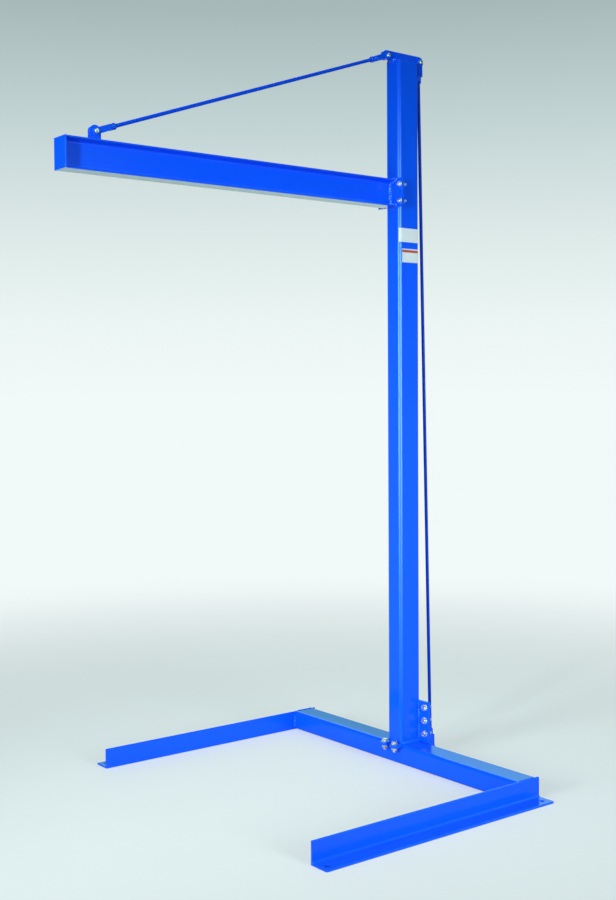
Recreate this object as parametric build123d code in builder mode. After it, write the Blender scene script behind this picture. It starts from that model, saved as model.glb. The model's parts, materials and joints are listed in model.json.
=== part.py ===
"""Floor-standing cantilever jib crane: U-shaped base, bolted mast, I-beam boom and two tie rods.

Frame: millimetres, +Z up, the boom points along -Y, +X is the side with the two blank labels.
The origin is the middle of the four floor anchor holes, at floor level.
"""

import os
from collections import namedtuple
from math import sqrt, tan, radians

from build123d import *

inch = 25.4

# Base: two angle legs on the floor, joined by a tube
leg_flange = 3.0 * inch
leg_thickness = 0.25 * inch
leg_root_radius = 0.3125 * inch
leg_toe_radius = 0.1875 * inch
leg_corner_radius = 0.25 * inch
leg_length = 40.0 * inch
inside_width = 50.0 * inch
anchor_hole_diameter = 0.75 * inch
anchor_gauge = 1.875 * inch
anchor_rear_margin = 1.25 * inch
anchor_front_margin = 1.0 * inch

# The same rectangular tube serves as crossbeam (lying flat) and as mast (upright)
tube_wide = 4.0 * inch
tube_narrow = 3.0 * inch
tube_wall = 0.25 * inch
tube_corner = 0.5 * inch
plate = 0.25 * inch

# Distances along Y, from the anchor pattern's middle or from the mast's axis
anchor_spacing_y = leg_length - anchor_rear_margin - anchor_front_margin
leg_rear_overhang = 0.25 * inch
leg_rear_y_from_mast = tube_wide / 2 + leg_rear_overhang
mast_y = anchor_spacing_y / 2 + anchor_rear_margin - leg_rear_y_from_mast
leg_rear_y = mast_y + leg_rear_y_from_mast
leg_front_y = leg_rear_y - leg_length
mast_front_y = mast_y - tube_wide / 2
mast_rear_y = mast_y + tube_wide / 2

# Mast and its foot
crossbeam_top = tube_narrow
foot_top = crossbeam_top + plate
mast_top = 105.55 * inch
cap_thickness = 0.1875 * inch
lobe_radius = 0.75 * inch
foot_bolt_x = 1.06 * inch
foot_bolt_y = mast_y - 2.95 * inch
foot_edge_x = foot_bolt_x + lobe_radius
ear_edge_x = 3.5 * inch
ear_bottom = foot_top
ear_top = 9.25 * inch
ear_bolt_x = 2.75 * inch
ear_bolt_heights = (4.4 * inch, 6.4 * inch, 8.4 * inch)
upright_bottom = 0.3 * inch

# Boom: American standard beam, 4 inches deep
boom_underside = 84.0 * inch
beam_depth = 4.0 * inch
beam_width = 2.663 * inch
beam_web = 0.193 * inch
beam_flange_mean = 0.293 * inch
beam_flange_slope = 1 / 6
beam_root_radius = 0.27 * inch
beam_toe_radius = 0.11 * inch
boom_length = 54.0 * inch
tip_plate_width = 3.0 * inch
tip_plate_thickness = 0.1875 * inch
joint_plate_width = 5.25 * inch
joint_plate_height = 4.125 * inch
boom_bolt_x = 2.2 * inch
boom_bolt_rise = 1.225 * inch

# Lugs that take the tie rods
lug_thickness = 0.5 * inch
lug_radius = 0.8 * inch
top_pin_reach = 3.25 * inch
top_pin_height = 106.25 * inch
tip_pin_y = mast_y - 51.875 * inch
tip_pin_height = 89.16 * inch
rear_pin_y = mast_y + 5.55 * inch
rear_pin_height = 0.95 * inch

# Tie rods with a yoke and a jam nut on each end
rod_diameter = 0.5 * inch
rod_chamfer = 0.04 * inch
running_gap = 0.05
yoke_slot = lug_thickness + 0.8
yoke_arm = 0.25 * inch
yoke_width = yoke_slot + 2 * yoke_arm
yoke_eye_radius = 0.5625 * inch
yoke_arm_height = 0.8 * inch
yoke_slot_depth = 1.5 * inch
yoke_slot_height = 1.7 * inch
yoke_body_length = 2.2 * inch
yoke_shank_diameter = 0.85 * inch
yoke_length = 2.68 * inch
yoke_end_chamfer = 0.08 * inch
yoke_bore_start = 1.7 * inch
rod_start = 1.85 * inch
jam_nut_gap = 0.4
pin_hole_gap = 0.15

# Hexagon fasteners: shank diameter, width across flats, height of the head and of the nut
HexSize = namedtuple("HexSize", "shank across_flats head nut")
small_bolt = HexSize(0.375 * inch, 0.5625 * inch, 0.243 * inch, 0.328 * inch)
large_bolt = HexSize(0.5 * inch, 0.75 * inch, 0.3125 * inch, 0.4375 * inch)
hex_chamfer_angle = 30
hex_face_share = 0.97
hex_corner_margin = 0.1
shank_chamfer_share = 0.09
small_washer = 0.8125 * inch
large_washer = 1.0625 * inch
washer_thickness = 0.095 * inch
washer_chamfer = 0.02 * inch
bolt_hole_gap = 0.8
thread_gap = 0.05
thread_end = 0.3 * inch

# Blank labels on the mast's +X face, wrapped onto its rounded corners
label_thickness = 0.3
upper_label_bottom = 78.83 * inch
upper_label_height = 2.07 * inch
upper_label_front = mast_y - 1.93 * inch
lower_label_bottom = 75.82 * inch
lower_label_height = 2.04 * inch
lower_label_front = mast_y - 1.45 * inch
label_rear = mast_y + 1.82 * inch

os.makedirs("parts", exist_ok=True)


def save(solid, name):
    """Label one finished node and write its STEP file."""
    solid.label = name
    export_step(solid, f"parts/{name}.step")


def hex_blank(seat, across_flats, height):
    """Hexagon with turned corners that stands on the seat plane."""
    side = Plane(origin=seat.origin, x_dir=seat.x_dir, z_dir=-seat.y_dir)
    corner = across_flats / sqrt(3) + hex_corner_margin
    face = across_flats / 2 * hex_face_share
    drop = (corner - face) * tan(radians(hex_chamfer_angle))
    with BuildPart() as blank:
        with BuildSketch(seat):
            RegularPolygon(across_flats / 2, 6, major_radius=False)
        extrude(amount=height)
        with BuildSketch(side):
            with BuildLine():
                Polyline(
                    (0, 0),
                    (face, 0),
                    (corner, drop),
                    (corner, height - drop),
                    (face, height),
                    (0, height),
                    close=True,
                )
            make_face()
        revolve(axis=Axis(seat.origin, seat.z_dir), mode=Mode.INTERSECT)
    return blank.part


def hex_bolt(seat, size, length):
    """Bolt whose head stands on the seat plane and whose shank goes down from it."""
    side = Plane(origin=seat.origin, x_dir=seat.x_dir, z_dir=-seat.y_dir)
    radius = size.shank / 2
    chamfer_size = size.shank * shank_chamfer_share
    head = hex_blank(seat, size.across_flats, size.head)
    with BuildPart() as bolt:
        add(head)
        with BuildSketch(side):
            with BuildLine():
                Polyline(
                    (0, 0),
                    (radius, 0),
                    (radius, chamfer_size - length),
                    (radius - chamfer_size, -length),
                    (0, -length),
                    close=True,
                )
            make_face()
        revolve(axis=Axis(seat.origin, seat.z_dir))
    return bolt.part


def hex_nut(seat, size):
    """Nut that stands on the seat plane, bored with a small gap around the thread."""
    blank = hex_blank(seat, size.across_flats, size.nut)
    with BuildPart() as nut:
        add(blank)
        with BuildSketch(seat):
            Circle(size.shank / 2 + thread_gap)
        extrude(amount=size.nut, mode=Mode.SUBTRACT)
    return nut.part


def flat_washer(seat, bolt_diameter, outer_diameter):
    """Washer that stands on the seat plane."""
    with BuildPart() as washer:
        with BuildSketch(seat):
            Circle(outer_diameter / 2)
            Circle(bolt_diameter / 2 + bolt_hole_gap / 2, mode=Mode.SUBTRACT)
        extrude(amount=washer_thickness)
        rim = washer.edges().filter_by(GeomType.CIRCLE).group_by(SortBy.RADIUS)[-1]
        chamfer(rim, washer_chamfer)
    return washer.part


def seat_facing(point, normal):
    """Seat plane of a bolt head or nut at a point, facing along the normal."""
    across = (0, 0, 1) if normal[2] == 0 else (1, 0, 0)
    return Plane(origin=point, x_dir=across, z_dir=normal)


def raised(seat, distance):
    """The seat plane moved along its own normal."""
    return Plane(origin=seat.origin + seat.z_dir * distance, x_dir=seat.x_dir, z_dir=seat.z_dir)


def turned_over(seat, grip):
    """The opposite seat, on the far side of a stack of the given thickness."""
    return Plane(origin=seat.origin - seat.z_dir * grip, x_dir=seat.x_dir, z_dir=-seat.z_dir)


def fasten(seats, size, washer_diameter, grip):
    """Bolts with a washer under each head, and nuts on the far side of a stack of plates."""
    through = washer_thickness + grip + size.nut + thread_end
    bolts = [hex_bolt(raised(seat, washer_thickness), size, through) for seat in seats]
    washers = [flat_washer(seat, size.shank, washer_diameter) for seat in seats]
    nuts = [hex_nut(turned_over(seat, grip), size) for seat in seats]
    return bolts, washers, nuts


def save_group(solids, name):
    """Write a group of identical loose pieces as one node."""
    with BuildPart() as group:
        add(solids)
    save(group.part, name)


def upright_plane(y):
    """Sketch plane that faces the front: its axes are X and Z, its normal is -Y."""
    return Plane(origin=(0, y, 0), x_dir=(1, 0, 0), z_dir=(0, -1, 0))


# Right leg: the upright flange is on the inside, the flat flange points outwards
heel_x = inside_width / 2
anchor_x = heel_x + anchor_gauge
anchor_y = anchor_spacing_y / 2
leg_section_plane = Plane(origin=(heel_x, leg_front_y, 0), x_dir=(1, 0, 0), z_dir=(0, -1, 0))
with BuildPart() as right_leg:
    with BuildSketch(leg_section_plane) as section:
        with BuildLine():
            Polyline(
                (0, 0),
                (leg_flange, 0),
                (leg_flange, leg_thickness),
                (leg_thickness, leg_thickness),
                (leg_thickness, leg_flange),
                (0, leg_flange),
                close=True,
            )
        make_face()
        fillet(section.vertices().sort_by_distance((leg_thickness, leg_thickness))[0], leg_root_radius)
        fillet(section.vertices().sort_by_distance((leg_flange, leg_thickness))[0], leg_toe_radius)
        fillet(section.vertices().sort_by_distance((leg_thickness, leg_flange))[0], leg_toe_radius)
    extrude(amount=-leg_length)
    # Plan view: the outer corners of the flat flange are rounded off
    with BuildSketch(Plane.XY) as plan:
        with Locations((heel_x + leg_flange / 2, (leg_front_y + leg_rear_y) / 2)):
            Rectangle(leg_flange, leg_length)
        fillet(plan.vertices().group_by(Axis.X)[-1], leg_corner_radius)
    extrude(amount=leg_flange, mode=Mode.INTERSECT)
    with BuildSketch(Plane.XY):
        with Locations((anchor_x, -anchor_y), (anchor_x, anchor_y)):
            Circle(anchor_hole_diameter / 2)
    extrude(amount=leg_thickness, mode=Mode.SUBTRACT)
save(right_leg.part, "right_leg_angle")

with BuildPart() as left_leg:
    add(right_leg.part)
    mirror(about=Plane.YZ, mode=Mode.REPLACE)
save(left_leg.part, "left_leg_angle")

# Crossbeam: the tube lies flat between the two legs
with BuildPart() as crossbeam:
    with BuildSketch(Plane.YZ.offset(-inside_width / 2)):
        with Locations((mast_y, tube_narrow / 2)):
            RectangleRounded(tube_wide, tube_narrow, tube_corner)
            RectangleRounded(
                tube_wide - 2 * tube_wall,
                tube_narrow - 2 * tube_wall,
                tube_corner - tube_wall,
                mode=Mode.SUBTRACT,
            )
    extrude(amount=inside_width)
save(crossbeam.part, "crossbeam_tube")

# Mast: the same tube stands on the middle of the crossbeam
with BuildPart() as mast:
    with BuildSketch(Plane.XY.offset(foot_top)):
        with Locations((0, mast_y)):
            RectangleRounded(tube_narrow, tube_wide, tube_corner)
            RectangleRounded(
                tube_narrow - 2 * tube_wall,
                tube_wide - 2 * tube_wall,
                tube_corner - tube_wall,
                mode=Mode.SUBTRACT,
            )
    extrude(amount=mast_top - foot_top)
save(mast.part, "mast_tube")

with BuildPart() as mast_cap:
    with BuildSketch(Plane.XY.offset(mast_top)):
        with Locations((0, mast_y)):
            RectangleRounded(tube_narrow, tube_wide, tube_corner)
    extrude(amount=cap_thickness)
save(mast_cap.part, "mast_top_cap")

# Foot: a plate a little wider than the mast, with two round lobes in front, and tabs under the lobes
foot_bolt_places = ((-foot_bolt_x, foot_bolt_y), (foot_bolt_x, foot_bolt_y))
neck_overlap = tube_corner
neck_length = mast_front_y + neck_overlap - foot_bolt_y
neck_places = [(x, foot_bolt_y + neck_length / 2) for x, _ in foot_bolt_places]
foot_hole_radius = (large_bolt.shank + bolt_hole_gap) / 2

with BuildPart() as foot_plate:
    with BuildSketch(Plane.XY.offset(crossbeam_top)):
        with Locations((0, mast_y)):
            Rectangle(2 * foot_edge_x, tube_wide)
        with Locations(*neck_places):
            Rectangle(2 * lobe_radius, neck_length)
        with Locations(*foot_bolt_places):
            Circle(lobe_radius)
            Circle(foot_hole_radius, mode=Mode.SUBTRACT)
    extrude(amount=plate)
save(foot_plate.part, "mast_foot_plate")

with BuildPart() as front_tabs:
    with BuildSketch(Plane.XY.offset(crossbeam_top - plate)):
        with Locations(*neck_places):
            Rectangle(2 * lobe_radius, neck_length)
        with Locations(*foot_bolt_places):
            Circle(lobe_radius)
            Circle(foot_hole_radius, mode=Mode.SUBTRACT)
    extrude(amount=plate)
    # The tabs are coped to the crossbeam's rounded edge
    add(crossbeam.part, mode=Mode.SUBTRACT)
save(front_tabs.part, "crossbeam_front_tabs")

foot_seats = [seat_facing((x, y, foot_top), (0, 0, 1)) for x, y in foot_bolt_places]
foot_bolts, foot_washers, foot_nuts = fasten(foot_seats, large_bolt, large_washer, 2 * plate)
save_group(foot_bolts, "foot_bolts")
save_group(foot_washers, "foot_washers")
save_group(foot_nuts, "foot_nuts")

# Ears on both sides of the mast, coped to its rounded rear corners
ear_inner_x = tube_narrow / 2 - tube_corner
ear_hole_radius = (large_bolt.shank + bolt_hole_gap) / 2
with BuildPart() as right_ear:
    with BuildSketch(upright_plane(mast_rear_y)):
        with Locations(((ear_inner_x + ear_edge_x) / 2, (ear_bottom + ear_top) / 2)):
            Rectangle(ear_edge_x - ear_inner_x, ear_top - ear_bottom)
        with Locations(*[(ear_bolt_x, height) for height in ear_bolt_heights]):
            Circle(ear_hole_radius, mode=Mode.SUBTRACT)
    extrude(amount=plate)
    add(mast.part, mode=Mode.SUBTRACT)
save(right_ear.part, "mast_right_ear")

with BuildPart() as left_ear:
    add(right_ear.part)
    mirror(about=Plane.YZ, mode=Mode.REPLACE)
save(left_ear.part, "mast_left_ear")

# Upright plate: on the crossbeam's rear face, behind the mast and its ears
ear_bolt_places = [(side * ear_bolt_x, height) for side in (-1, 1) for height in ear_bolt_heights]
with BuildPart() as upright_plate:
    with BuildSketch(upright_plane(mast_rear_y)):
        with Locations((0, (upright_bottom + ear_top) / 2)):
            Rectangle(2 * ear_edge_x, ear_top - upright_bottom)
        with Locations(*ear_bolt_places):
            Circle(ear_hole_radius, mode=Mode.SUBTRACT)
    extrude(amount=-plate)
save(upright_plate.part, "rear_upright_plate")

ear_front_y = mast_rear_y - plate
ear_seats = [seat_facing((x, ear_front_y, z), (0, -1, 0)) for x, z in ear_bolt_places]
ear_bolts, ear_washers, ear_nuts = fasten(ear_seats, large_bolt, large_washer, 2 * plate)
save_group(ear_bolts, "ear_bolts")
save_group(ear_washers, "ear_washers")
save_group(ear_nuts, "ear_nuts")

# Boom: the insides of both flanges slope towards the web
boom_start_y = mast_front_y - 2 * plate
boom_tip_y = boom_start_y - boom_length
boom_top = boom_underside + beam_depth
half_width = beam_width / 2
half_web = beam_web / 2
taper = beam_flange_slope * (half_width - half_web) / 2
toe = beam_flange_mean - taper
root = beam_flange_mean + taper
root_corners = [(x, z) for x in (-half_web, half_web) for z in (root, beam_depth - root)]
toe_corners = [(x, z) for x in (-half_width, half_width) for z in (toe, beam_depth - toe)]

boom_section_plane = Plane(origin=(0, boom_start_y, boom_underside), x_dir=(1, 0, 0), z_dir=(0, -1, 0))
with BuildPart() as boom:
    with BuildSketch(boom_section_plane) as beam_section:
        with BuildLine():
            Polyline(
                (-half_width, 0),
                (half_width, 0),
                (half_width, toe),
                (half_web, root),
                (half_web, beam_depth - root),
                (half_width, beam_depth - toe),
                (half_width, beam_depth),
                (-half_width, beam_depth),
                (-half_width, beam_depth - toe),
                (-half_web, beam_depth - root),
                (-half_web, root),
                (-half_width, toe),
                close=True,
            )
        make_face()
        for corner in root_corners:
            fillet(beam_section.vertices().sort_by_distance(corner)[0], beam_root_radius)
        for corner in toe_corners:
            fillet(beam_section.vertices().sort_by_distance(corner)[0], beam_toe_radius)
    extrude(amount=boom_length)
save(boom.part, "boom_beam")

with BuildPart() as tip_plate:
    with BuildSketch(upright_plane(boom_tip_y)):
        with Locations((0, boom_underside + beam_depth / 2)):
            Rectangle(tip_plate_width, beam_depth)
    extrude(amount=tip_plate_thickness)
save(tip_plate.part, "boom_tip_plate")

# Two equal plates are bolted together between boom and mast, level with the boom's underside
boom_bolt_places = [
    (side * boom_bolt_x, boom_underside + beam_depth / 2 + rise)
    for side in (-1, 1)
    for rise in (-boom_bolt_rise, boom_bolt_rise)
]


def joint_plate(y):
    """One plate of the boom joint, in front of the given Y."""
    with BuildPart() as joint:
        with BuildSketch(upright_plane(y)):
            with Locations((0, boom_underside + joint_plate_height / 2)):
                Rectangle(joint_plate_width, joint_plate_height)
            with Locations(*boom_bolt_places):
                Circle((small_bolt.shank + bolt_hole_gap) / 2, mode=Mode.SUBTRACT)
        extrude(amount=plate)
    return joint.part


save(joint_plate(mast_front_y), "mast_boom_flange")
save(joint_plate(mast_front_y - plate), "boom_mount_plate")

boom_seats = [seat_facing((x, boom_start_y, z), (0, -1, 0)) for x, z in boom_bolt_places]
boom_bolts, boom_washers, boom_nuts = fasten(boom_seats, small_bolt, small_washer, 2 * plate)
save_group(boom_bolts, "boom_bolts")
save_group(boom_washers, "boom_washers")
save_group(boom_nuts, "boom_nuts")

# Lugs: plates in the middle plane with full-round ends
lug_plane = Plane.YZ.offset(-lug_thickness / 2)
lug_hole_radius = small_bolt.shank / 2 + pin_hole_gap
cap_top = mast_top + cap_thickness

with BuildPart() as tip_lug:
    with BuildSketch(lug_plane):
        with Locations((tip_pin_y, (boom_top + tip_pin_height) / 2)):
            Rectangle(2 * lug_radius, tip_pin_height - boom_top)
        with Locations((tip_pin_y, tip_pin_height)):
            Circle(lug_radius)
            Circle(lug_hole_radius, mode=Mode.SUBTRACT)
    extrude(amount=lug_thickness)
    add(boom.part, mode=Mode.SUBTRACT)
save(tip_lug.part, "boom_tip_lug")

# The mast's lug lies flat on the cap and reaches out in front and behind
with BuildPart() as top_lug:
    with BuildSketch(lug_plane):
        with Locations((mast_y, top_pin_height)):
            SlotCenterToCenter(2 * top_pin_reach, 2 * lug_radius)
        with Locations((mast_y, cap_top - lug_radius)):
            Rectangle(2 * (top_pin_reach + lug_radius), 2 * lug_radius, mode=Mode.SUBTRACT)
        with Locations((mast_y - top_pin_reach, top_pin_height), (mast_y + top_pin_reach, top_pin_height)):
            Circle(lug_hole_radius, mode=Mode.SUBTRACT)
    extrude(amount=lug_thickness)
save(top_lug.part, "mast_top_lug")

upright_rear_y = mast_rear_y + plate
with BuildPart() as anchor_lug:
    with BuildSketch(lug_plane):
        with Locations(((upright_rear_y + rear_pin_y) / 2, rear_pin_height)):
            Rectangle(rear_pin_y - upright_rear_y, 2 * lug_radius)
        with Locations((rear_pin_y, rear_pin_height)):
            Circle(lug_radius)
            Circle(lug_hole_radius, mode=Mode.SUBTRACT)
    extrude(amount=lug_thickness)
save(anchor_lug.part, "rear_anchor_lug")


# Tie rods: each runs from one pin to another, with a yoke and a jam nut at both ends
def tie_rod(start, end):
    """Round rod between two pins, short of both by the rod's start distance."""
    direction = (end - start).normalized()
    length = (end - start).length - 2 * rod_start
    foot = Plane(origin=start + direction * rod_start, x_dir=(1, 0, 0), z_dir=direction)
    with BuildPart() as rod:
        with BuildSketch(foot):
            Circle(rod_diameter / 2)
        extrude(amount=length)
        chamfer(rod.edges().filter_by(GeomType.CIRCLE), rod_chamfer)
    return rod.part


def yoke(pin, direction):
    """Forked rod end: two arms around the lug, then a solid neck bored for the rod."""
    side = Plane(origin=pin, x_dir=direction, z_dir=(1, 0, 0))
    end = Plane(origin=pin + direction * yoke_length, x_dir=(1, 0, 0), z_dir=direction)
    with BuildPart() as fork:
        with BuildSketch(side):
            Circle(yoke_eye_radius)
            with Locations((yoke_body_length / 2, 0)):
                Rectangle(yoke_body_length, yoke_arm_height)
        extrude(amount=yoke_width / 2, both=True)
        with BuildSketch(end):
            Circle(yoke_shank_diameter / 2)
        extrude(amount=yoke_body_length - yoke_length)
        rim = fork.edges().filter_by(GeomType.CIRCLE).sort_by(Axis(pin, direction))[-1]
        chamfer(rim, yoke_end_chamfer)
        with BuildSketch(side):
            with Locations((yoke_slot_depth - yoke_body_length, 0)):
                Rectangle(2 * yoke_body_length, yoke_slot_height)
        extrude(amount=yoke_slot / 2, both=True, mode=Mode.SUBTRACT)
        with BuildSketch(side):
            Circle(lug_hole_radius)
        extrude(amount=yoke_width, both=True, mode=Mode.SUBTRACT)
        with BuildSketch(end):
            Circle(rod_diameter / 2 + running_gap)
        extrude(amount=yoke_bore_start - yoke_length, mode=Mode.SUBTRACT)
    return fork.part


def jam_nut(pin, direction):
    """Nut on the rod, just clear of the yoke's end, with two corners in the rods' common plane."""
    corner_way = (0, -direction.Z, direction.Y)
    seat = Plane(origin=pin + direction * (yoke_length + jam_nut_gap), x_dir=corner_way, z_dir=direction)
    return hex_nut(seat, large_bolt)


tip_pin = Vector(0, tip_pin_y, tip_pin_height)
top_front_pin = Vector(0, mast_y - top_pin_reach, top_pin_height)
top_rear_pin = Vector(0, mast_y + top_pin_reach, top_pin_height)
rear_pin = Vector(0, rear_pin_y, rear_pin_height)
front_direction = (top_front_pin - tip_pin).normalized()
rear_direction = (top_rear_pin - rear_pin).normalized()

save(tie_rod(tip_pin, top_front_pin), "front_tie_rod")
save(yoke(tip_pin, front_direction), "front_lower_yoke")
save(yoke(top_front_pin, -front_direction), "front_upper_yoke")
save(jam_nut(tip_pin, front_direction), "front_lower_jam_nut")
save(jam_nut(top_front_pin, -front_direction), "front_upper_jam_nut")
save(tie_rod(rear_pin, top_rear_pin), "rear_tie_rod")
save(yoke(rear_pin, rear_direction), "rear_lower_yoke")
save(yoke(top_rear_pin, -rear_direction), "rear_upper_yoke")
save(jam_nut(rear_pin, rear_direction), "rear_lower_jam_nut")
save(jam_nut(top_rear_pin, -rear_direction), "rear_upper_jam_nut")

pins = (tip_pin, top_front_pin, top_rear_pin, rear_pin)
yoke_seats = [seat_facing(pin + Vector(yoke_width / 2, 0, 0), (1, 0, 0)) for pin in pins]
yoke_bolt_length = yoke_width + small_bolt.nut + thread_end
save_group([hex_bolt(seat, small_bolt, yoke_bolt_length) for seat in yoke_seats], "yoke_bolts")
save_group([hex_nut(turned_over(seat, yoke_width), small_bolt) for seat in yoke_seats], "yoke_nuts")


# Blank labels: thin sheets that follow the tube's outline
def blank_label(bottom, height, front):
    """One label on the +X face, from its front end to the common rear end."""
    inner_x = tube_narrow / 2 - tube_corner
    with BuildPart() as label:
        with BuildSketch(Plane.XY.offset(bottom)):
            with Locations((0, mast_y)):
                RectangleRounded(
                    tube_narrow + 2 * label_thickness,
                    tube_wide + 2 * label_thickness,
                    tube_corner + label_thickness,
                )
                RectangleRounded(tube_narrow, tube_wide, tube_corner, mode=Mode.SUBTRACT)
            with Locations((inner_x + tube_corner, (front + label_rear) / 2)):
                Rectangle(2 * tube_corner, label_rear - front, mode=Mode.INTERSECT)
        extrude(amount=height)
    return label.part


save(blank_label(upper_label_bottom, upper_label_height, upper_label_front), "upper_blank_label")
save(blank_label(lower_label_bottom, lower_label_height, lower_label_front), "lower_blank_label")
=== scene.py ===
# %% [markdown]
# # A cantilever jib crane in blue gloss enamel
# The crane stands on two angle legs and a crossbeam. A tube mast carries an I-beam boom, and two tie rods
# hold the boom up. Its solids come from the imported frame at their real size, in metres. This lesson gives
# them their finish and adds what the solids leave out: the weld beads along the joints and the threads.

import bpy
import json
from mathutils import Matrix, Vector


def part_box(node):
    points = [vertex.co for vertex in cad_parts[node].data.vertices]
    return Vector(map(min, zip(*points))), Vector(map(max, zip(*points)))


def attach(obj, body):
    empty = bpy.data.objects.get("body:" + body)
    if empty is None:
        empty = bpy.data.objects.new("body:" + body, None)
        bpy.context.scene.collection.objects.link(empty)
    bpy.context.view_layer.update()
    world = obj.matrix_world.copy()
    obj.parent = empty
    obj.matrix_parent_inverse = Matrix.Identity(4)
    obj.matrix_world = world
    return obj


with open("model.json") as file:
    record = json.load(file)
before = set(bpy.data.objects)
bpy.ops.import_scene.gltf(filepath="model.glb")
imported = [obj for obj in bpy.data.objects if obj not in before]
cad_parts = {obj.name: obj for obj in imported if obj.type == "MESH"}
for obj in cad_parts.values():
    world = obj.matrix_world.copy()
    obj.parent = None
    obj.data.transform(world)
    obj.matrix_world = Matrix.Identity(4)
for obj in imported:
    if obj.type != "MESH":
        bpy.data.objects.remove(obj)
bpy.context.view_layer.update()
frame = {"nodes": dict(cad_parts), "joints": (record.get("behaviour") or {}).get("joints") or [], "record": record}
nodes = frame["nodes"]

# %% [markdown]
# ## The camera
# A normal lens at about half the mast's height looks along the crane's diagonal. Three turns place it: it
# turns to face the crane, tilts down a little, and rolls by a third of a degree. Building the matrix from
# those turns keeps each one readable, which a single list of angles would not.

# %% Camera
from math import cos, pi, radians, sin, sqrt

import bpy
import mathutils
from mathutils import Matrix, Vector

image_height = 900
focal_length_in_pixels = 1252.9
sensor_size = 36.0
quarter_turn = radians(90)
camera_place = Vector((3.584, -2.8033, 1.4205))
camera_turn = radians(52.084)
camera_tilt = radians(2.462)
camera_roll = radians(0.363)

lens = bpy.data.cameras.new("crane_camera")
lens.sensor_width = sensor_size
lens.lens = focal_length_in_pixels / image_height * sensor_size
camera = bpy.data.objects.new("crane_camera", lens)
bpy.context.scene.collection.objects.link(camera)
bpy.context.scene.camera = camera
camera.matrix_world = (
    Matrix.Translation(camera_place)
    @ Matrix.Rotation(camera_turn, 4, "Z")
    @ Matrix.Rotation(quarter_turn - camera_tilt, 4, "X")
    @ Matrix.Rotation(-camera_roll, 4, "Z")
)
bpy.context.scene.view_settings.view_transform = "Standard"
print("camera lens:", round(lens.lens, 2), "mm")

# %% [markdown]
# ## Shader sums
# A finish is mostly arithmetic on patterns: a little more of this noise, less of that one near an edge. Node
# by node that is hard to read. This small class wraps one socket, so that 0.2 + 0.1 * streaks adds the two
# Math nodes by itself. Every other kind of node comes from its one node method.

# %% Socket class


class Wire:
    """One socket of a shader tree. Sums on it add Math nodes, and node() adds any other node."""

    def __init__(self, tree, socket=None):
        self.tree = tree
        self.socket = socket

    def node(self, kind, settings=None, sockets=None, output=0):
        """Add a node: its settings first, then the values or links of its input sockets."""
        made = self.tree.nodes.new("ShaderNode" + kind)
        for name, value in (settings or {}).items():
            if name == "stops":
                lay_stops(made.color_ramp.elements, value)
            else:
                setattr(made, name, value)
        for name, value in (sockets or {}).items():
            if isinstance(value, Wire):
                self.tree.links.new(value.socket, made.inputs[name])
            else:
                made.inputs[name].default_value = value
        return Wire(self.tree, made.outputs[output] if made.outputs else None)

    def sum(self, operation, first, second):
        return self.node("Math", {"operation": operation}, {0: first, 1: second})

    def __add__(self, other):
        return self.sum("ADD", self, other)

    def __radd__(self, other):
        return self.sum("ADD", other, self)

    def __sub__(self, other):
        return self.sum("SUBTRACT", self, other)

    def __rsub__(self, other):
        return self.sum("SUBTRACT", other, self)

    def __mul__(self, other):
        return self.sum("MULTIPLY", self, other)

    def __rmul__(self, other):
        return self.sum("MULTIPLY", other, self)


print("a wire knows the sums + - * and any other node")

# %% [markdown]
# ## Helpers for finishes
# Ramps, mixes, colours, noises and dot products come up again and again below, so each gets a short function.
# Colours are written the way a picture file writes them, from 0 to 255, and turned into the linear values
# that shaders work with.

# %% Ramp, mix, colour and noise helpers
up = (0.0, 0.0, 1.0)


def lay_stops(elements, stops):
    """Give a colour ramp its stops, as (position, colour) pairs from low to high."""
    while len(elements) < len(stops):
        elements.new(1.0)
    for element, (position, tone) in zip(elements, stops):
        element.position = position
        element.color = tone


def rise(value, low, high):
    """0 below low, 1 above high, and a smooth slope between them."""
    span = {"Value": value, "From Min": low, "From Max": high}
    return value.node("MapRange", {"interpolation_type": "SMOOTHSTEP"}, span)


def mixed(share, first, second):
    """The first colour where share is 0, the second where it is 1."""
    return share.node("Mix", {"data_type": "RGBA"}, {0: share, 6: first, 7: second}, output=2)


def along(vector, direction):
    """How far a vector reaches along a direction."""
    return vector.node("VectorMath", {"operation": "DOT_PRODUCT"}, {0: vector, 1: direction}, output="Value")


def noise(place, scale, detail=2.0, roughness=0.5):
    """Cloudy pattern between 0 and 1; scale counts its features per metre."""
    sockets = {"Vector": place, "Scale": scale, "Detail": detail, "Roughness": roughness}
    return place.node("TexNoise", None, sockets, output="Fac")


def colour(red, green, blue):
    """A colour as a picture file writes it, 0 to 255, made linear for shaders by the sRGB formula."""
    parts = [part / 255 for part in (red, green, blue)]
    return tuple(p / 12.92 if p <= 0.04045 else ((p + 0.055) / 1.055) ** 2.4 for p in parts) + (1.0,)


print("mid grey as a shader sees it:", round(colour(128, 128, 128)[0], 3))

# %% [markdown]
# ## The studio's air
# Gloss paint shows the room as much as its own colour. The room here is a pale studio: bright at eye level
# and greyer towards the ceiling. The camera sees that in every direction. Reflections see a stronger version
# of it on the backdrop's side, two broad cool panels left and right of the camera, a cool window behind the
# crane on the right, and a dim room elsewhere. So the flat faces stay deep blue, rounded corners get soft
# strips, and surfaces seen at a grazing angle turn pale. Everything else gets an even soft light.

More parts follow.
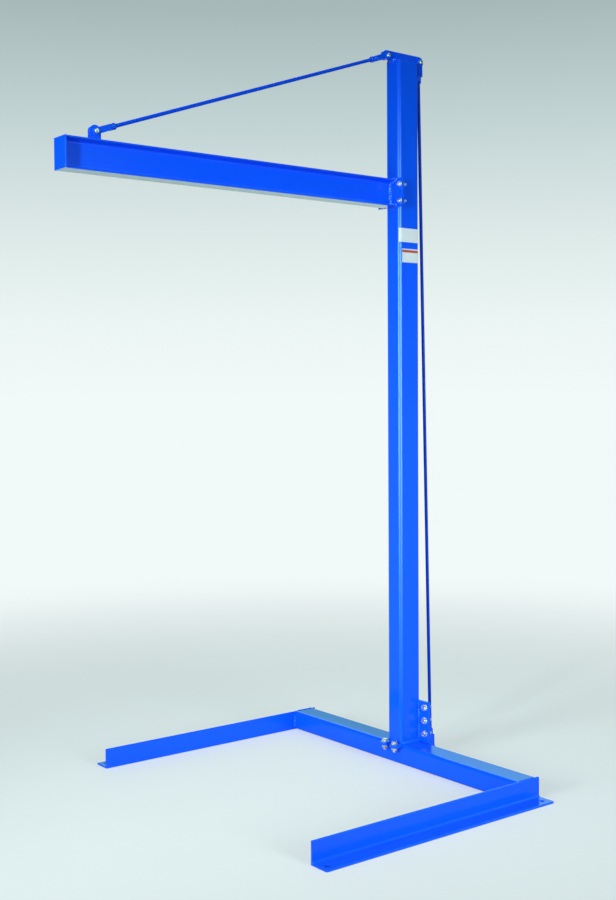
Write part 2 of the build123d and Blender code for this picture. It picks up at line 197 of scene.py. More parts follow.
# %% Tones of the air
# A height of 0 is eye level, and 1 is straight up.
horizon_tone = colour(242, 249, 249)
sky_stops = [
    (0.0, horizon_tone),
    (0.06, colour(235, 245, 244)),
    (0.108, colour(224, 237, 235)),
    (0.155, colour(213, 226, 226)),
    (0.222, colour(190, 208, 208)),
    (0.294, colour(166, 184, 183)),
]
mirror_start = -0.3
mirror_stops = [
    (-0.25, (0.62, 0.84, 0.68, 1.0)),
    (-0.17, (0.90, 1.20, 0.72, 1.0)),
    (0.0, colour(236, 250, 250)),
    (0.1, colour(190, 240, 238)),
    (0.2, colour(136, 222, 190)),
    (0.262, colour(124, 218, 180)),
    (0.3, (0.58, 1.32, 0.82, 1.0)),
    (0.42, (0.9, 2.1, 2.3, 1.0)),
    (0.7, (0.8, 1.9, 2.1, 1.0)),
]
dim_room = colour(126, 146, 152)
dark_ceiling = colour(8, 14, 18)
panel_glow = (6.4, 14.5, 15.0, 1.0)
window_glow = (0.4, 1.5, 1.6, 1.0)
soft_light = colour(238, 254, 249)
soft_light_strength = 0.34
print("tones of the backdrop:", len(sky_stops), "for the camera,", len(mirror_stops), "for reflections")

# %% The room that reflections see
# Each pair says where a soft border starts and where it is complete.
backdrop_direction = Vector((-0.79, 0.61, 0.0))
backdrop_border = (0.5, 0.9)
ceiling_border = (-0.1, 0.22)
window_direction = Vector((0.74, 0.67, 0.0))
window_border = (0.4, 0.65)
window_foot = (0.27, 0.4)
window_top = (0.6, 0.8)
camera_direction = Vector((0.74, -0.67, 0.0))
panel_border = (0.25, 0.8)
panel_gap = (0.88, 0.98)
gap_depth = 0.75
panel_foot = (-0.26, 0.02)
panel_top = (0.09, 0.24)

world = bpy.data.worlds.new("studio_air")
world.use_nodes = True
world.node_tree.nodes.clear()
bpy.context.scene.world = world
air = Wire(world.node_tree)
looking = air.node("TexCoord", output="Generated")
height = along(looking, up)
lifted_stops = [(level - mirror_start, tone) for level, tone in mirror_stops]
backdrop = air.node("ValToRGB", {"stops": lifted_stops}, {"Fac": height - mirror_start})
side_room = mixed(rise(height, *ceiling_border), dim_room, dark_ceiling)
behind = rise(along(looking, window_direction), *window_border)
window = behind * rise(height, *window_foot) * (1 - rise(height, *window_top))
side_room = mixed(window, side_room, window_glow)
towards_camera = along(looking, camera_direction)
panels = rise(towards_camera, *panel_border) * (1 - gap_depth * rise(towards_camera, *panel_gap))
at_eye_level = rise(height, *panel_foot) * (1 - rise(height, *panel_top))
front_room = mixed(panels * at_eye_level, side_room, panel_glow)
mirrored_room = mixed(rise(along(looking, backdrop_direction), *backdrop_border), front_room, backdrop)
print("nodes of the mirrored room:", len(world.node_tree.nodes))

# %% World
sky = air.node("ValToRGB", {"stops": sky_stops}, {"Fac": height})
by_camera = air.node("LightPath", output="Is Camera Ray")
by_gloss = air.node("LightPath", output="Is Glossy Ray")
shown_room = air.node("Background", None, {"Color": mixed(by_camera, mirrored_room, sky)})
lighting_room = air.node("Background", None, {"Color": soft_light, "Strength": soft_light_strength})
room = air.node("MixShader", None, {0: by_camera + by_gloss, 1: lighting_room, 2: shown_room})
air.node("OutputWorld", None, {"Surface": room})
print("world nodes:", len(world.node_tree.nodes))

# %% [markdown]
# ## The lamps
# Three lamps light the crane. One stands in front of the base and throws the shadows of the foot nuts and the
# mast. One stands left of the camera at the height of the boom, so plates throw short shadows backwards along
# the web and the mast. One stands far out on the right, beside the mast, and keeps the mast's side as bright
# as its front. The first and the last are aimed low, so the mast darkens towards its top. The lamps are
# hidden from the camera and from reflections, which see the broad panels instead: small lamps would leave
# hard sparks on the paint.

# %% Lamps


def softbox(name, place, aim, size, power, spread):
    """A square lamp that faces its aim and spreads its light over an angle in degrees."""
    lamp = bpy.data.lights.new(name, "AREA")
    lamp.shape = "SQUARE"
    lamp.size = size
    lamp.energy = power
    lamp.spread = radians(spread)
    holder = bpy.data.objects.new(name, lamp)
    holder.location = place
    holder.rotation_euler = (Vector(aim) - Vector(place)).to_track_quat("-Z", "Y").to_euler()
    holder.visible_camera = False
    holder.visible_glossy = False
    bpy.context.scene.collection.objects.link(holder)
    print(name, "at", place, "with", power, "W")


softbox("front_lamp", place=(0.45, -4.6, 1.3), aim=(0.0, 0.35, 0.2), size=1.3, power=23.6, spread=60)
softbox("boom_lamp", place=(1.85, -4.4, 2.2), aim=(0.0, -0.2, 1.85), size=0.4, power=14, spread=58)
softbox("side_lamp", place=(5.4, 0.2, 1.5), aim=(0.0, 0.3, 0.65), size=2.2, power=24, spread=49)

# %% [markdown]
# ## The floor
# The crane stands on a plain pale floor that keeps its soft shadow. It is one disc. Near the crane it is a
# matt surface with some of the horizon's glow. Further out it passes into the tone of the horizon for the
# camera, so that no hard line crosses the picture behind the mast. It is pale for the camera only and throws
# back less light than it shows, so that undersides keep some depth. Reflections look past the far floor into
# the room. Under the four anchor holes of the legs it is painted dark: painted shade for the inside of each
# hole.

# %% Floor tones
import bmesh

floor_radius = 40.0
floor_sides = 96
floor_drop = 0.0004
near_glow = 0.42
horizon_border = (1.2, 5.5)
mirror_border = (0.9, 1.3)
pale_floor_low = colour(231, 246, 247)
pale_floor_high = colour(239, 252, 253)
mirrored_floor = colour(160, 172, 174)
dark_floor = colour(168, 178, 178)
floor_roughness = 0.55
mottle_roughness = 0.2
mottle_scale = 2.2
hole_shade = colour(40, 52, 80)
hole_border = (0.012, 0.016)
anchors = next(mount for mount in frame["record"]["mounts"] if mount["name"] == "floor_anchors")
millimetre = 0.001
anchor_x = anchors["dims"]["spacing_x_mm"] / 2 * millimetre
anchor_y = anchors["dims"]["spacing_y_mm"] / 2 * millimetre
print("anchor holes at plus and minus", anchor_x, anchor_y)

# %% Floor


def floor_finish():
    """Pale matt floor that passes into the horizon's tone far from the crane."""
    material = bpy.data.materials.new("pale_floor")
    material.use_nodes = True
    material.node_tree.nodes.clear()
    base = Wire(material.node_tree)
    place = base.node("TexCoord", output="Object")
    distance = base.node("VectorMath", {"operation": "LENGTH"}, {0: place}, output="Value")
    seen_by_camera = base.node("LightPath", output="Is Camera Ray")
    seen_by_gloss = base.node("LightPath", output="Is Glossy Ray")
    mottle = noise(place, mottle_scale, detail=4.0)
    pale = mixed(mottle, pale_floor_low, pale_floor_high)
    tone = mixed(seen_by_camera, mixed(seen_by_gloss, dark_floor, mirrored_floor), pale)
    folded = base.node("VectorMath", {"operation": "ABSOLUTE"}, {0: place})
    to_hole = {0: folded, 1: (anchor_x, anchor_y, 0.0)}
    hole_distance = base.node("VectorMath", {"operation": "DISTANCE"}, to_hole, output="Value")
    # Painted shade under the anchor holes: dark floor, and no glow.
    outside = rise(hole_distance, *hole_border)
    tone = mixed(outside, hole_shade, tone)
    roughness = floor_roughness + mottle_roughness * mottle
    matt = base.node("BsdfPrincipled", None, {"Base Color": tone, "Roughness": roughness})
    glow = base.node("Emission", None, {"Color": horizon_tone})
    far = (near_glow + (1 - near_glow) * rise(distance, *horizon_border)) * seen_by_camera * outside
    shown = base.node("MixShader", None, {0: far, 1: matt, 2: glow})
    past = seen_by_gloss * rise(distance, *mirror_border)
    surface = base.node("MixShader", None, {0: past, 1: shown, 2: base.node("BsdfTransparent")})
    base.node("OutputMaterial", None, {"Surface": surface})
    return material


disc = bmesh.new()
bmesh.ops.create_circle(disc, cap_ends=True, segments=floor_sides, radius=floor_radius)
bmesh.ops.translate(disc, verts=disc.verts, vec=(0, 0, -floor_drop))
floor_mesh = bpy.data.meshes.new("studio_floor")
disc.to_mesh(floor_mesh)
disc.free()
floor_mesh.materials.append(floor_finish())
floor = bpy.data.objects.new("studio_floor", floor_mesh)
bpy.context.scene.collection.objects.link(floor)
print("floor radius:", floor_radius, "m")

# %% [markdown]
# ## What every finish starts from
# A finish reads the piece's own coordinates, so its patterns keep their real scale. One more reading helps
# all of them: where the sharp edges are. The Bevel node gives it, because its rounded normal leans away from
# the true one only beside an edge. The same rounded normal lets hard plate edges catch a thin line of light,
# as broken edges do on real steel.

# %% Starting points of a finish
edge_radius = 0.0012
edge_samples = 4
edge_border = (0.01, 0.22)


def new_finish(name):
    """An empty material, with the readings that finishes use: place, rounded normal and edge."""
    material = bpy.data.materials.new(name)
    material.use_nodes = True
    material.node_tree.nodes.clear()
    start = Wire(material.node_tree)
    place = start.node("TexCoord", output="Object")
    facing = start.node("NewGeometry", output="Normal")
    rounded = start.node("Bevel", {"samples": edge_samples}, {"Radius": edge_radius})
    edge = rise(1 - along(facing, rounded), *edge_border)
    return material, place, rounded, edge


def bumped(normal, relief, strength, depth):
    """The normal, tilted by a relief that is so many metres deep."""
    sockets = {"Strength": strength, "Distance": depth, "Height": relief, "Normal": normal}
    return relief.node("Bump", None, sockets)


def surface(place, sockets):
    """End a finish: a Principled shader with these sockets, given to the material's output."""
    shader = place.node("BsdfPrincipled", None, sockets)
    place.node("OutputMaterial", None, {"Surface": shader})


print("edge highlight radius:", edge_radius * 1000, "mm")

# %% [markdown]
# ## Blue gloss enamel
# The frame is hot-rolled steel under one coat of bright blue enamel. Sprayed gloss paint is never quite flat:
# it has a fine orange peel, and the rolling streaks of the steel still show through it lengthwise. It pulls
# thin on sharp edges and chips there first; the lighter blue along the edges is partly that thin paint and
# partly a painted highlight. On top it gathers a thin film of dust, whose cyan tone is also a painted sheen
# of the backdrop's reflection. The streaks follow the direction in which each section was rolled, so the
# finish is made once per direction. Some pieces differ: the welds of the boom and the top lug carry patches
# of painted highlight, the tip plate's edges carry a strong painted highlight, and the rods have a duller,
# deeper coat, the rear one in a darker blue that is painted shade, as it stands behind the mast. One function
# with a few options makes them all.

# %% Enamel tones and patterns
frame_blues = (colour(4, 81, 249), colour(10, 93, 255))
front_rod_blues = (colour(0, 68, 232), colour(2, 76, 240))
# The rear rod's darker blue is painted shade: it stands behind the mast.
rear_rod_painted_shade_blues = (colour(0, 52, 185), colour(1, 58, 195))
# Lighter blue for thin paint on edges, and for painted highlights on edges and welds.
thin_paint_and_highlight_blue = colour(84, 160, 255)
primer_grey = colour(96, 108, 124)
# Dust on faces turned up; its cyan tone is partly a painted sheen of reflection.
dust_and_sheen_tone = colour(90, 196, 214)
paint_ior = 1.5
matt_ior = 1.2
streaks_across = 110.0
streaks_lengthwise = 3.0
cloud_scale = 5.0
peel_scale = 380.0
chip_scale = 75.0
# Size of the patches of painted highlight on the welds.
glint_scale = 130.0
cloud_share = 0.55
# Least share of dust with its painted sheen, and how much of it covers the top.
least_dust_and_sheen = 0.2
dust_and_sheen_cover = 0.07
# Roughness of clean paint, and what each pattern adds to it.
clean_roughness = 0.07
streak_roughness = 0.08
edge_roughness = 0.04
dust_roughness = 0.05
chip_roughness = 0.35
# Share of each pattern in the relief.
peel_height = 0.35
streak_height = 0.5
chip_hollow = 1.2
print("rolling streaks per metre:", streaks_across)

# %% Enamel


def blue_enamel(
    name, rolled_axis, blues=frame_blues, ior=paint_ior,
    wear=0.5, peel_depth=1.0, dullness=0.0, thin_and_highlit_edges=0.15, painted_glints=0.0,
):
    """Gloss enamel between two blues, on steel rolled along one axis: 0 for X, 1 for Y, 2 for Z."""
    material, place, rounded, edge = new_finish(name)
    squeeze = [streaks_across] * 3
    squeeze[rolled_axis] = streaks_lengthwise
    squeezed = place.node("Mapping", None, {"Vector": place, "Scale": squeeze})
    streaks = noise(squeezed, scale=1.0, detail=4.0, roughness=0.6)
    clouds = noise(place, cloud_scale, detail=3.0)
    peel = noise(place, peel_scale, detail=1.0)
    flakes = noise(place, chip_scale, detail=4.0, roughness=0.65)
    chips = edge * rise(flakes, low=0.62, high=0.70) * wear
    upward = along(place.node("NewGeometry", output="Normal"), up)
    # Dust on faces turned up, with its cyan tone also a painted sheen.
    dust_and_sheen = rise(upward, low=0.75, high=0.99) * (least_dust_and_sheen + (1 - least_dust_and_sheen) * streaks)
    tone = mixed(cloud_share * clouds + (1 - cloud_share) * streaks, *blues)
    # Edges lighter: partly thin paint, partly a painted highlight.
    tone = mixed(thin_and_highlit_edges * edge, tone, thin_paint_and_highlight_blue)
    # Patches of painted highlight: glints on the weld ripples.
    if painted_glints:
        glint_spots = rise(noise(place, glint_scale), low=0.46, high=0.58)
        tone = mixed(painted_glints * glint_spots, tone, thin_paint_and_highlight_blue)
    tone = mixed(dust_and_sheen_cover * dust_and_sheen, tone, dust_and_sheen_tone)
    tone = mixed(chips, tone, primer_grey)
    roughness = (
        clean_roughness + dullness + streak_roughness * streaks + edge_roughness * edge
        + dust_roughness * dust_and_sheen + chip_roughness * chips
    )
    relief = peel_height * peel_depth * peel + streak_height * streaks - chip_hollow * chips
    normal = bumped(rounded, relief, strength=0.14, depth=0.0003)
    surface(place, {"Base Color": tone, "Roughness": roughness, "IOR": ior, "Normal": normal})
    return material


enamel_along = [blue_enamel(f"blue_enamel_along_{axis}", index) for index, axis in enumerate("xyz")]
upright = 2
weld_enamel = blue_enamel("blue_enamel_on_welds", upright, wear=0.2, peel_depth=2.0, dullness=0.05)
# Boom and top-lug welds take patches of painted highlight.
glinting_weld_enamel = blue_enamel(
    "blue_enamel_painted_glints_on_welds", upright, wear=0.2, peel_depth=2.0, painted_glints=0.9
)
# The tip plate's edges take a strong painted highlight.
tip_plate_highlight_enamel = blue_enamel("blue_enamel_painted_edge_highlight", upright, thin_and_highlit_edges=0.9)
rod_enamel = {
    "front": blue_enamel("rod_enamel_along_y", 1, front_rod_blues, matt_ior, dullness=0.2),
    # The rear rod's darker blue is painted shade.
    "rear": blue_enamel("rod_enamel_painted_shade_along_z", upright, rear_rod_painted_shade_blues, matt_ior, dullness=0.2),
}
print("enamel finishes:", [material.name for material in enamel_along], weld_enamel.name)

# %% [markdown]
# ## Bright zinc
# Bolts, nuts and washers are zinc plated: a thin bright metal layer with a fine crystal grain, and corners
# polished by the spanner. A milky film forms on it in patches, where it is less of a mirror and more of a
# white powder. So it is metal in some places and pale in others, and reads as light grey from every side.

# %% Zinc plating
clear_zinc = colour(188, 187, 178)
milky_zinc = colour(255, 250, 228)
bare_zinc = colour(244, 246, 246)
crystal_scale = 900.0
haze_scale = 140.0
polish_share = 0.5
clear_metal = 0.97
milky_loss = 0.52
clear_roughness = 0.13
haze_roughness = 0.13
crystal_roughness = 0.08
polish_gain = 0.05
crystal_height = 0.5
haze_height = 0.6


def zinc_plating(name):
    """Bright zinc with a crystal grain and polished corners."""
    material, place, rounded, edge = new_finish(name)
    crystals = place.node("TexVoronoi", None, {"Vector": place, "Scale": crystal_scale}, output="Distance")
    haze = noise(place, haze_scale, detail=4.0, roughness=0.6)
    milky = rise(haze, low=0.35, high=0.65)
    tone = mixed(milky, clear_zinc, milky_zinc)
    tone = mixed(polish_share * edge, tone, bare_zinc)
    metal = clear_metal - milky_loss * milky
    roughness = clear_roughness + haze_roughness * haze + crystal_roughness * crystals - polish_gain * edge
    relief = crystal_height * crystals + haze_height * haze
    normal = bumped(rounded, relief, strength=0.12, depth=0.0002)
    surface(place, {"Base Color": tone, "Metallic": metal, "Roughness": roughness, "Normal": normal})
    return material


zinc = zinc_plating("bright_zinc")
print("metal finish:", zinc.name)

# %% [markdown]
# ## Blank labels
# Two vinyl labels sit on the side of the mast. They are blank: a white sheet with a soft grain, a grey rim
# where the cut edge has caught dirt, and on the lower one a plain orange band along the top. The band is a
# step in the label's own height, so it needs no picture.

# %% Label vinyl
vinyl_white = colour(208, 223, 229)
vinyl_shade = colour(200, 216, 223)
vinyl_rim = colour(176, 180, 180)
band_orange = colour(176, 74, 52)
vinyl_shine = 0.2
band_margin = 0.0042
band_height = 0.0098
band_softness = 0.0006
grain_scale = 260.0
sag_scale = 38.0
rim_share = 0.6
vinyl_roughness = 0.52
grain_roughness = 0.12
rim_roughness = 0.2
grain_height = 0.3


def label_vinyl(name, node, banded):
    """White vinyl sheet, with or without an orange band below its upper edge."""
    material, place, rounded, edge = new_finish(name)
    grain = noise(place, grain_scale, detail=3.0)
    sag = noise(place, sag_scale)
    tone = mixed(sag, vinyl_white, vinyl_shade)
    if banded:
        level = along(place, up)
        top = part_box(node)[1].z - band_margin
        below_top = 1 - rise(level, top - band_softness, top)
        above_foot = rise(level, top - band_height, top - band_height + band_softness)
        tone = mixed(below_top * above_foot, tone, band_orange)
    tone = mixed(rim_share * edge, tone, vinyl_rim)
    roughness = vinyl_roughness + grain_roughness * grain + rim_roughness * edge
    normal = bumped(rounded, grain_height * grain + sag, strength=0.1, depth=0.0003)
    look = {"Base Color": tone, "Roughness": roughness, "Normal": normal}
    surface(place, look | {"Specular IOR Level": vinyl_shine})
    return material


plain_label = label_vinyl("plain_label_vinyl", "upper_blank_label", banded=False)
banded_label = label_vinyl("banded_label_vinyl", "lower_blank_label", banded=True)
print("labels:", plain_label.name, banded_label.name)

# %% [markdown]
# ## Dressing the solids
# The imported solids arrive with one plain material each, named after their paint slot. The slot tells which
# finish belongs there. Long sections also need their rolling direction; the mast, plates, lugs, yokes and jam
# nuts take the upright one. The tip plate, with its painted edge highlight, and the rods, the rear one with
# its painted shade, have finishes of their own. Only the material slot changes, and the solids themselves
# stay as they are.

# %% Finishes on the solids
rolled_along = {
    "crossbeam_tube": 0,
    "left_leg_angle": 1,
    "right_leg_angle": 1,
    "boom_beam": 1,
}
slot_finish = {
    "zinc_plate": zinc,
    "white_label": plain_label,
    "banded_label": banded_label,
}
# The tip plate's enamel paints a highlight along its edges, and the rear rod's paints shade.
own_enamel = {
    "boom_tip_plate": tip_plate_highlight_enamel,
    "front_tie_rod": rod_enamel["front"],
    "rear_tie_rod": rod_enamel["rear"],
}
for name, node in nodes.items():
    paint_slot = node.material_slots[0].material.name
    enamel = own_enamel.get(name, enamel_along[rolled_along.get(name, upright)])
    node.material_slots[0].material = slot_finish.get(paint_slot, enamel)
print("dressed nodes:", len(nodes))

# %% [markdown]
# ## How a weld bead is made
# A welder's torch lays a row of overlapping puddles, so a bead looks like a stack of coins along the corner.
# It could be a bump on the paint, but a bead stands 3 to 9 mm proud and shows in outline. Here a small ring
# is extruded from step to step along the seam, swelling and pinching once per puddle, with its ends drawn in.
# A slow noise lets its width wander, as an unsteady hand does. What lies inside the plates stays hidden.

# %% Bead values
puddle_pitch = 0.0058
steps_per_puddle = 6
puddle_swell = 0.13
hand_sway = 0.2
sways_per_metre = 75.0
bead_sides = 10
bead_tip = 0.35
collar_bead = 0.0095
heavy_bead = 0.0075
full_bead = 0.0050
fine_bead = 0.0028
print("one puddle every", puddle_pitch * 1000, "mm")

# %% Bead along a seam


def steps_along(corners, spacing):
    """Evenly spaced places along a run of straight stretches."""
    places = []
    for first, last in zip(corners, corners[1:]):
        count = max(1, round((last - first).length / spacing))
        places += [first.lerp(last, index / count) for index in range(count)]
    return places + [corners[-1]]


def grow_ring(mesh, edges, move):
    """Extrude a ring of edges once and move the new ring; return its edges."""
    grown = bmesh.ops.extrude_edge_only(mesh, edges=edges)["geom"]
    verts = [part for part in grown if isinstance(part, bmesh.types.BMVert)]
    bmesh.ops.transform(mesh, matrix=move, verts=verts)
    held = set(verts)
    return [part for part in grown if isinstance(part, bmesh.types.BMEdge) and held.issuperset(part.verts)]


def lay_bead(mesh, corners, radius):
    """Extrude a ring along the seam. Each puddle swells it, and both ends are drawn in."""
    spacing = puddle_pitch / steps_per_puddle
    places = steps_along(corners, spacing)
    last = len(places) - 1
    heading = (places[1] - places[0]).normalized()
    turn = Vector(up).rotation_difference(heading)
    before = None
    for index, place in enumerate(places):
        ahead = (places[min(index + 1, last)] - places[max(index - 1, 0)]).normalized()
        turn = heading.rotation_difference(ahead) @ turn
        heading = ahead
        puddle = abs(sin(pi * index / steps_per_puddle))
        from_end = min(1.0, min(index, last - index) * spacing / radius)
        sway = 1 + hand_sway * mathutils.noise.noise(place * sways_per_metre)
        size = sway * (1 - puddle_swell + puddle_swell * puddle)
        size *= bead_tip + (1 - bead_tip) * sqrt(from_end)
        here = Matrix.Translation(place) @ turn.to_matrix().to_4x4() @ Matrix.Scale(size, 4)
        if before is None:
            ring = bmesh.ops.create_circle(
                mesh, cap_ends=True, segments=bead_sides, radius=radius, matrix=here
            )
            edges = list({edge for vert in ring["verts"] for edge in vert.link_edges})
        else:
            edges = grow_ring(mesh, edges, here @ before.inverted())
        before = here
    bmesh.ops.contextual_create(mesh, geom=edges)


print("one bead has", bead_sides, "sides")

# %% Pieces of beads


def add_piece(name, mesh, material, body):
    """Turn a finished bmesh into a piece of the crane that rides on a body."""
    bmesh.ops.recalc_face_normals(mesh, faces=mesh.faces)
    for face in mesh.faces:
        face.smooth = True
    data = bpy.data.meshes.new(name)
    mesh.to_mesh(data)
    mesh.free()
    data.materials.append(material)
    piece = bpy.data.objects.new(name, data)
    bpy.context.scene.collection.objects.link(piece)
    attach(piece, body)
    print(name, "has", len(data.polygons), "faces")


def weld(name, seams, enamel=weld_enamel):
    """One piece for the beads of one joint, given as (corners, radius) pairs."""
    mesh = bmesh.new()
    for corners, radius in seams:
        lay_bead(mesh, [Vector(corner) for corner in corners], radius)
    add_piece(name, mesh, enamel, "crane_frame")


def on_both_sides(corners):
    """The same run on the +X side and mirrored on the -X side."""
    return [[(side * x, y, z) for x, y, z in corners] for side in (1, -1)]


print("beads are painted with", weld_enamel.name, "or", glinting_weld_enamel.name)

# %% [markdown]
# ## Welds of the boom
# The boom is welded to its end plate along the web, out along the sloping inside of each flange, round the
# toes and over the top, where the plate stands a little higher. Below, plate and flange are level. The plate
# at the tip is level with both flanges, so it is welded on the inside only. One outline of half the section
# serves both, and the other half mirrors it.

# %% Boom welds
beam_low, beam_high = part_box("boom_beam")
half_web = 0.00245
toe_height = 0.0046
root_height = 0.0100
root_fillet = 0.0066
half_beam = beam_high.x


def beam_seam(y):
    """Half the outline of the boom's section at one Y, from its upper to its lower toe."""
    top, foot = beam_high.z, beam_low.z
    return [
        (half_beam, y, top),
        (half_beam, y, top - toe_height),
        (half_web + root_fillet, y, top - root_height),
        (half_web, y, top - root_height - root_fillet),
        (half_web, y, foot + root_height + root_fillet),
        (half_web + root_fillet, y, foot + root_height),
        (half_beam, y, foot + toe_height),
        (half_beam, y, foot),
    ]


over_top = [(0, beam_high.y, beam_high.z)]
joint_seams = [(run, heavy_bead) for run in on_both_sides(over_top + beam_seam(beam_high.y))]
tip_seams = [(run, fine_bead) for run in on_both_sides(beam_seam(beam_low.y))]
# These beads carry patches of painted highlight.
weld("boom_plate_welds", joint_seams, glinting_weld_enamel)
weld("boom_tip_welds", tip_seams, glinting_weld_enamel)

# %% [markdown]
# ## Welds of the lugs
# Four lug ends take the tie rods. Each lug is a thick plate set on edge, so it gets a bead along both of its
# sides, where it meets the boom, the cap and the upright plate. On the mast's top the beads run out over the
# front edge of the cap, and a thick bead joins them across the mast's face, under the lug's overhang.

# %% Lug welds
tip_low, tip_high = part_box("boom_tip_lug")
cap_low, cap_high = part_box("mast_top_cap")
tail_low, tail_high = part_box("rear_anchor_lug")
lug_side = tip_high.x
crown_drop = 0.006
collar_reach = 0.024

tip_run = [(lug_side, tip_low.y, beam_high.z), (lug_side, tip_high.y, beam_high.z)]
crown_run = [
    (lug_side, cap_low.y, cap_high.z - crown_drop),
    (lug_side, cap_low.y, cap_high.z),
    (lug_side, cap_high.y, cap_high.z),
]
collar_run = [(-collar_reach, cap_low.y, cap_high.z), (collar_reach, cap_low.y, cap_high.z)]
tail_run = [(lug_side, tail_low.y, tail_low.z), (lug_side, tail_low.y, tail_high.z)]
# The beads of the boom tip lug and the top lug carry patches of painted highlight.
weld("boom_tip_lug_welds", [(run, heavy_bead) for run in on_both_sides(tip_run)], glinting_weld_enamel)
weld("mast_top_lug_welds", [(run, full_bead) for run in on_both_sides(crown_run)], glinting_weld_enamel)
weld("mast_top_collar_weld", [(collar_run, collar_bead)])
weld("rear_lug_welds", [(run, full_bead) for run in on_both_sides(tail_run)])

# %% [markdown]
# ## Welds of the mast
# The seam between the mast and its foot plate follows the tube's outline, so it is a loop with round corners:
# a run of straight stretches with a few places on each quarter circle. The ears and the boom flange meet the
# tube in straight upright seams, where its corner curves, and the flange has a level seam above and below.
# The cap's seam is ground flush and needs none.

# %% Mast welds
mast_low, mast_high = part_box("mast_tube")
tube_corner = 0.0127
quarter_steps = 6


def tube_loop(z):
    """Closed run round the mast's outline at one height."""
    middle = (mast_low + mast_high) / 2
    reach_x = mast_high.x - middle.x - tube_corner
    reach_y = mast_high.y - middle.y - tube_corner
    loop = []
    for quarter, (side_x, side_y) in enumerate(((1, 1), (-1, 1), (-1, -1), (1, -1))):
        for step in range(quarter_steps + 1):
            angle = quarter_turn * (quarter + step / quarter_steps)
            x = middle.x + side_x * reach_x + tube_corner * cos(angle)
            y = middle.y + side_y * reach_y + tube_corner * sin(angle)
            loop.append((x, y, z))
    return loop + loop[:1]


ear_low, ear_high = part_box("mast_right_ear")
flange_low, flange_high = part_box("mast_boom_flange")
ear_seam_inset = 0.0012
groove_inset = 0.0045
groove_depth = 0.0028
ear_x = mast_high.x - ear_seam_inset
ear_run = [(ear_x, ear_low.y, ear_low.z), (ear_x, ear_low.y, ear_high.z)]
groove_x = mast_high.x - groove_inset
groove_y = flange_high.y + groove_depth
groove_run = [(groove_x, groove_y, flange_low.z), (groove_x, groove_y, flange_high.z)]
flat_reach = mast_high.x - tube_corner
brow_run = [(-flat_reach, flange_high.y, flange_high.z), (flat_reach, flange_high.y, flange_high.z)]
sill_run = [(-flat_reach, flange_high.y, flange_low.z), (flat_reach, flange_high.y, flange_low.z)]
flange_runs = on_both_sides(groove_run) + [brow_run, sill_run]
weld("mast_foot_weld", [(tube_loop(mast_low.z), full_bead)])
weld("mast_ear_welds", [(run, full_bead) for run in on_both_sides(ear_run)])
weld("mast_flange_welds", [(run, full_bead) for run in flange_runs])

# %% [markdown]
# ## Welds of the base
# The crossbeam butts against the upright flanges of both legs. It is welded up its front and rear face, and
# across the top, where beam and leg are level. The upright plate is welded to the beam's rear face along its
# edges, and the tabs under the mast's foot along their underside.

# %% Base welds
beam_foot, beam_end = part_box("crossbeam_tube")
plate_low, plate_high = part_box("rear_upright_plate")
tab_low, tab_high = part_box("crossbeam_front_tabs")
end_x = beam_end.x
weld_foot = 0.004
shoulder = beam_end.z - tube_corner
front_run = [(end_x, beam_foot.y, weld_foot), (end_x, beam_foot.y, shoulder)]
rear_run = [(end_x, beam_end.y, weld_foot), (end_x, beam_end.y, shoulder)]
top_run = [(end_x, beam_foot.y + tube_corner, beam_end.z), (end_x, beam_end.y - tube_corner, beam_end.z)]
side_run = [(plate_high.x, plate_low.y, tube_corner), (plate_high.x, plate_low.y, shoulder)]
tab_run = [(tab_low.x, beam_foot.y, tab_low.z), (tab_high.x, beam_foot.y, tab_low.z)]
leg_seams = [(run, full_bead) for run in on_both_sides(front_run) + on_both_sides(rear_run)]
leg_seams += [(run, fine_bead) for run in on_both_sides(top_run)]
weld("crossbeam_end_welds", leg_seams)
weld("upright_plate_welds", [(run, full_bead) for run in on_both_sides(side_run)])
weld("front_tab_weld", [(tab_run, fine_bead)])

# %% [markdown]
# ## Threads
# Rods and bolts are plain cylinders so far. A thread is one ridge wound round a shank. A bump pattern of
# rings would do from afar, but a spun triangle is just as short to write: the spin turns it round the axis
# and lifts it by a small step each time, so it climbs by one pitch per turn. It is wound round Z and then
# laid on its shank.

# %% Thread helper
steps_per_turn = 16
ridge_root = 0.0002
ridge_rise = 0.0003
ridge_share = 0.42


def wind_thread(mesh, foot, way, radius, pitch):
    """Wind a ridge round a shank of this radius, from its foot as far as its way reaches."""
    half = ridge_share * pitch
    turns = (way.length - 2 * half) / pitch
    steps = round(turns * steps_per_turn)
    root, crest = radius - ridge_root, radius + ridge_rise
    outline = [(root, 0.0), (crest, half), (root, 2 * half)]
    before = len(mesh.verts)
    corners = [mesh.verts.new((reach, 0, level)) for reach, level in outline]
    edges = [mesh.edges.new((corners[index - 1], corners[index])) for index in range(len(corners))]
    bmesh.ops.spin(
        mesh,
        geom=corners + edges,
        cent=(0, 0, 0),
        axis=up,
        dvec=(0, 0, pitch * turns / steps),
        angle=2 * pi * turns,
        steps=steps,
    )
    bmesh.ops.holes_fill(mesh, edges=[edge for edge in mesh.edges if edge.is_boundary])
    turn = Vector(up).rotation_difference(way.normalized()).to_matrix().to_4x4()
    ridge = list(mesh.verts)[before:]
    bmesh.ops.transform(mesh, matrix=Matrix.Translation(foot) @ turn, verts=ridge)


print("steps in one turn of a thread:", steps_per_turn)

# %% [markdown]
# ## Threads on the rods
# Each rod is threaded at both ends, where its jam nut and yoke sit on it. The part that shows begins just
# beyond the jam nut. A rod runs from pin to pin, and the frame's joints know those places. So the thread
# follows the rod's slope, and it turns with its rod.

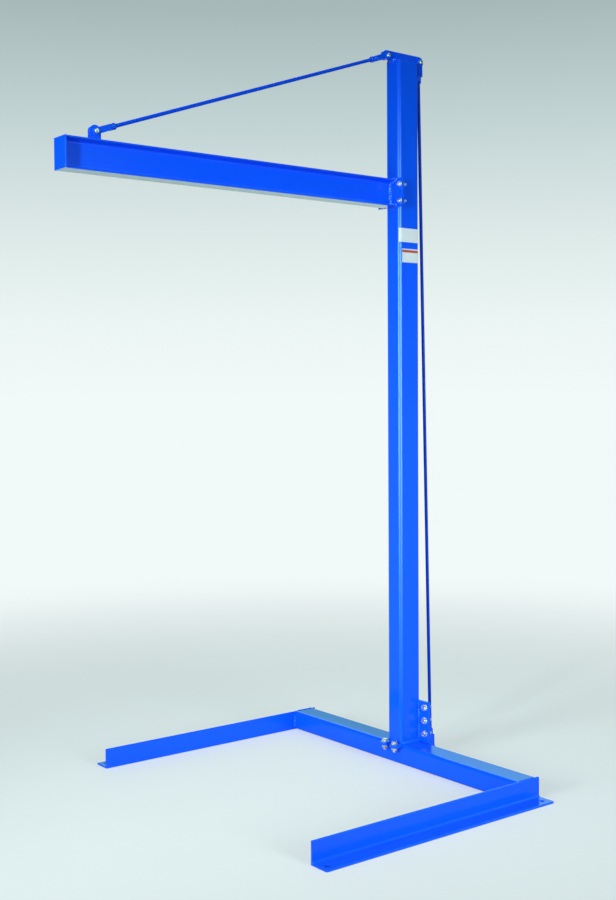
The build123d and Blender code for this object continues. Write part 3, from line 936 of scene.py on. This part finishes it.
# %% Rod threads
rod_radius = 0.00635
rod_pitch = 0.00195
pin_to_thread = 0.0804
thread_length = 0.012
joint_place = {joint["name"]: Vector(joint["pos_m"]) for joint in frame["joints"]}
pins = {
    side: (joint_place[f"{side}_rod_turn"], joint_place[f"{side}_upper_nut_turn"])
    for side in ("front", "rear")
}
for side, (low_pin, high_pin) in pins.items():
    heading = (high_pin - low_pin).normalized()
    mesh = bmesh.new()
    wind_thread(mesh, low_pin + heading * pin_to_thread, heading * thread_length, rod_radius, rod_pitch)
    wind_thread(mesh, high_pin - heading * pin_to_thread, -heading * thread_length, rod_radius, rod_pitch)
    # The rear rod's threads share its painted shade.
    add_piece(f"{side}_rod_threads", mesh, rod_enamel[side], f"{side}_rod")

# %% [markdown]
# ## Threads on the bolt ends
# Every bolt sticks out of its nut by a few turns of thread. The nuts and bolts are known as groups, and the
# groups' boxes say where the nuts end and how far the bolts go on. What is left are the bolts' places in the
# two other directions. The bolts of the yokes sit on the pins of the rods.

# %% Bolt places
small_radius, small_pitch = 0.0047625, 0.0015875
large_radius, large_pitch = 0.00635, 0.0019538
end_chamfer = 0.0009
boom_bolt_x = 0.05588
boom_bolt_middle = 2.1844
boom_bolt_lift = 0.031115
ear_bolt_x = 0.06985
ear_bolt_levels = (0.11176, 0.16256, 0.21336)
foot_bolt_x = 0.026924
foot_bolt_y = 0.379095
both = (1, -1)
boom_levels = (boom_bolt_middle - boom_bolt_lift, boom_bolt_middle + boom_bolt_lift)
boom_places = [(side * boom_bolt_x, level) for side in both for level in boom_levels]
ear_places = [(side * ear_bolt_x, level) for side in both for level in ear_bolt_levels]
foot_places = [(side * foot_bolt_x, foot_bolt_y) for side in both]
print("bolts of boom, ears and foot:", len(boom_places), len(ear_places), len(foot_places))

# %% Bolt threads
boom_nut_end, boom_bolt_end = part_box("boom_nuts")[1].y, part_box("boom_bolts")[1].y - end_chamfer
ear_nut_end, ear_bolt_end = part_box("ear_nuts")[1].y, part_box("ear_bolts")[1].y - end_chamfer
foot_nut_end, foot_bolt_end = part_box("foot_nuts")[0].z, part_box("foot_bolts")[0].z + end_chamfer
yoke_nut_end, yoke_bolt_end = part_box("yoke_nuts")[0].x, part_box("yoke_bolts")[0].x + end_chamfer

mesh = bmesh.new()
for x, z in boom_places:
    way = Vector((0, boom_bolt_end - boom_nut_end, 0))
    wind_thread(mesh, Vector((x, boom_nut_end, z)), way, small_radius, small_pitch)
for x, z in ear_places:
    way = Vector((0, ear_bolt_end - ear_nut_end, 0))
    wind_thread(mesh, Vector((x, ear_nut_end, z)), way, large_radius, large_pitch)
for x, y in foot_places:
    way = Vector((0, 0, foot_bolt_end - foot_nut_end))
    wind_thread(mesh, Vector((x, y, foot_nut_end)), way, large_radius, large_pitch)
for pin in pins["front"] + pins["rear"]:
    way = Vector((yoke_bolt_end - yoke_nut_end, 0, 0))
    wind_thread(mesh, Vector((yoke_nut_end, pin.y, pin.z)), way, small_radius, small_pitch)
add_piece("bolt_end_threads", mesh, zinc, "crane_frame")

# %% [markdown]
# Paint and beads must not make the crane bigger than its solids.

# %% Finish
import json
